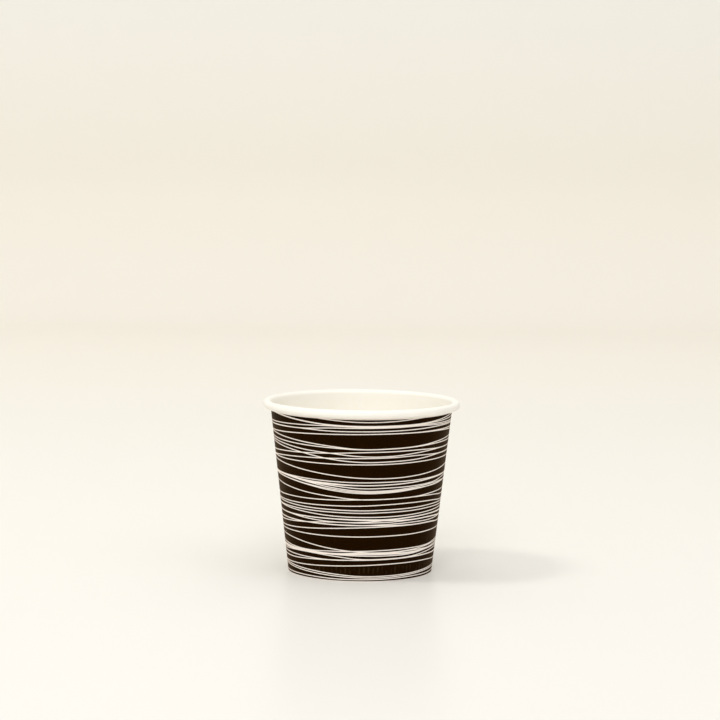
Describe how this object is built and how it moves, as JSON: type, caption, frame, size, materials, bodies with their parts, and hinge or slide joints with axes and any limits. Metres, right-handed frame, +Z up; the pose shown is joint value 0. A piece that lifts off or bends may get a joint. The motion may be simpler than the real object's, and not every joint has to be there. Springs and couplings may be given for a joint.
{
  "type": "paper coffee cup",
  "caption": "Small single-wall paper cup for hot drinks, with a tapered printed wall, a rolled rim, a lapped side seam and a recessed sealed bottom.",
  "frame": {"origin": "centre of the foot, on the cup's axis, where it stands on the table", "axes": "+Z up the cup's axis, -Y towards the front, and the side seam at the back towards -X"},
  "size_m": [0.062, 0.062, 0.054],
  "materials": {
    "side_wall": "coated board printed dark brown with bare cream stripes, cream inside and at the rim",
    "bottom_disc": "coated bare board"
  },
  "bodies": {
    "root": {"side_wall": "side_wall", "bottom_disc": "bottom_disc"}
  },
  "joints": []
}
